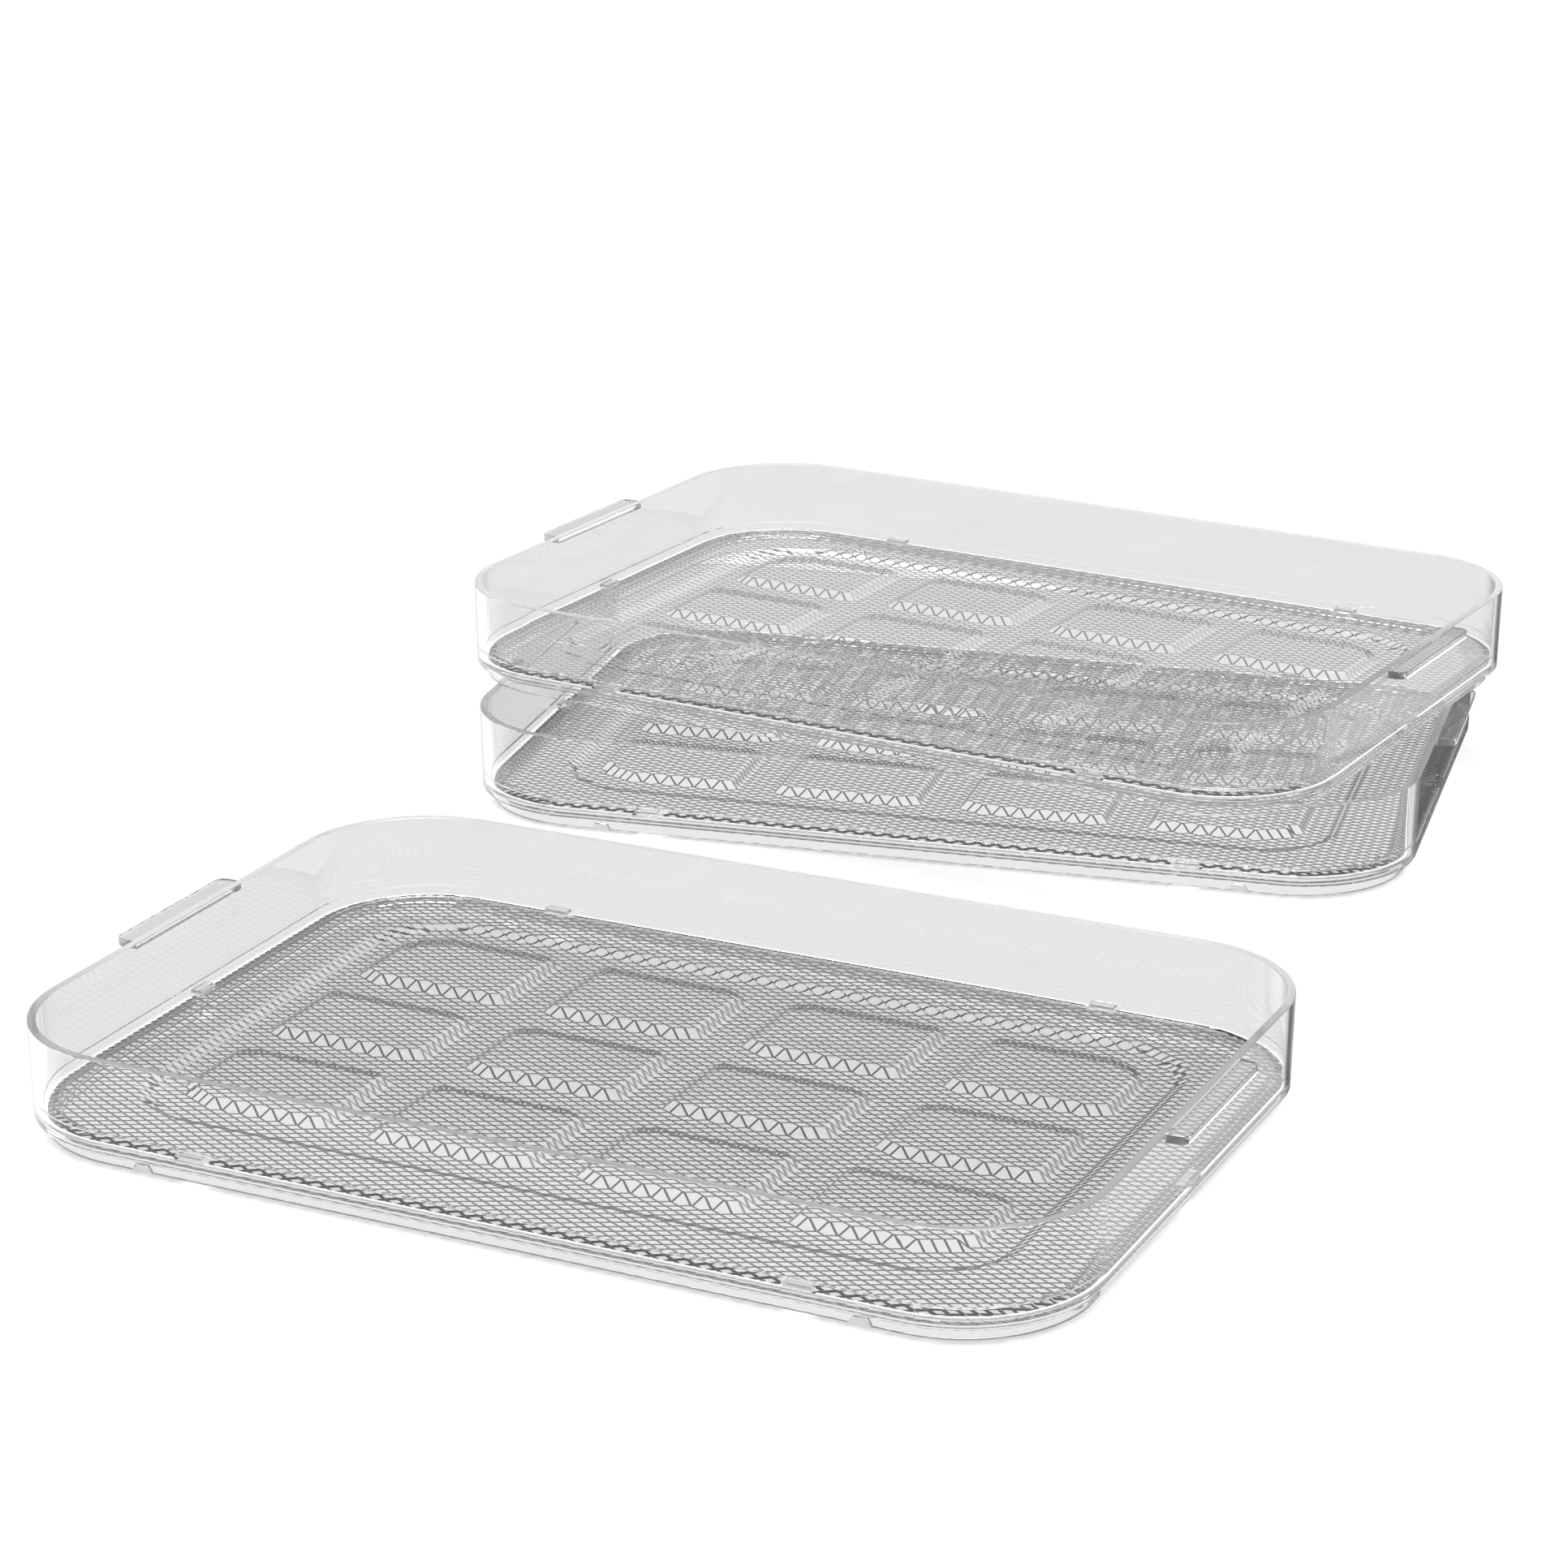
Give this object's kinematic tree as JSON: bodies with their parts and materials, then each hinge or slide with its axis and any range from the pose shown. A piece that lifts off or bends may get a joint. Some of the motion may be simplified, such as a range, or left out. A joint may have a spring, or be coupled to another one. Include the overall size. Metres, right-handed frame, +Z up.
{
  "type": "drying tray set",
  "caption": "Set of clear rectangular stacking drying trays for a food dehydrator, with a formed diamond-net floor, low wall and handle tabs",
  "frame": {"origin": "under the middle of the whole set, on the surface that it stands on", "axes": "X along the front tray's long side, Y from the front tray to the stack behind it, Z up"},
  "size_m": [0.3848, 0.5686, 0.0664],
  "materials": {
    "clear_frame": "clear polished plastic",
    "clear_net": "clear polished plastic"
  },
  "bodies": {
    "lower_tray": {"lower_frame": "clear_frame", "lower_net": "clear_net"},
    "upper_tray": {"upper_frame": "clear_frame", "upper_net": "clear_net"},
    "front_tray": {"front_frame": "clear_frame", "front_net": "clear_net"}
  },
  "joints": [
    {"name": "upper_lift", "type": "slide", "parent": "lower_tray", "child": "upper_tray", "axis": [0, 0, 1], "range_m": [0, 0.12]},
    {"name": "front_lift", "type": "slide", "parent": "lower_tray", "child": "front_tray", "axis": [0, 0, 1], "range_m": [0, 0.12]}
  ]
}
